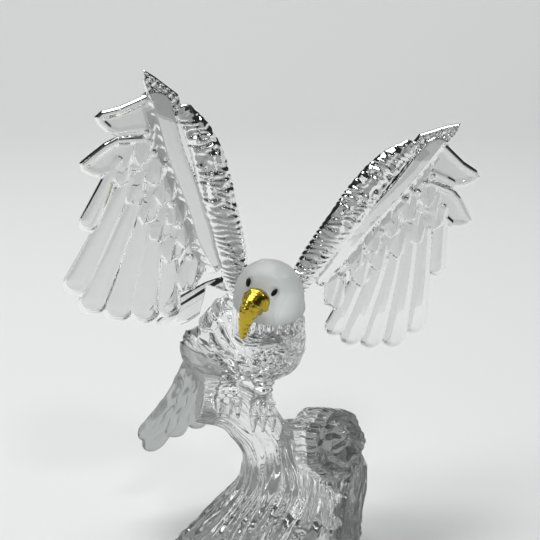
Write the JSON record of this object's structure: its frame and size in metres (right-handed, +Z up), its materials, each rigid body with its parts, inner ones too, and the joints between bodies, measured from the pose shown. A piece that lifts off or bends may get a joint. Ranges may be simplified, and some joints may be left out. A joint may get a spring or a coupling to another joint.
{
  "type": "crystal eagle figurine",
  "caption": "Clear crystal eagle with raised wings, a frosted head and tail and a gilt beak, perched on a fluted stump with a sawn stub.",
  "frame": {"origin": "middle of the stump's flat underside", "axes": "+Z up; the eagle looks roughly towards -Y, and the sawn stub is on its left, the +X side"},
  "size_m": [0.1286, 0.0662, 0.1528],
  "materials": {
    "clear_crystal": "clear, polished and faceted",
    "frosted_crystal": "satin frosted",
    "gilt": "polished gilt",
    "jet": "polished black"
  },
  "bodies": {
    "root": {"stump": "clear_crystal", "body": "clear_crystal", "wing_left": "clear_crystal", "wing_right": "clear_crystal", "head": "frosted_crystal", "tail": "frosted_crystal", "beak": "gilt", "eye_left": "jet", "eye_right": "jet"}
  },
  "joints": []
}
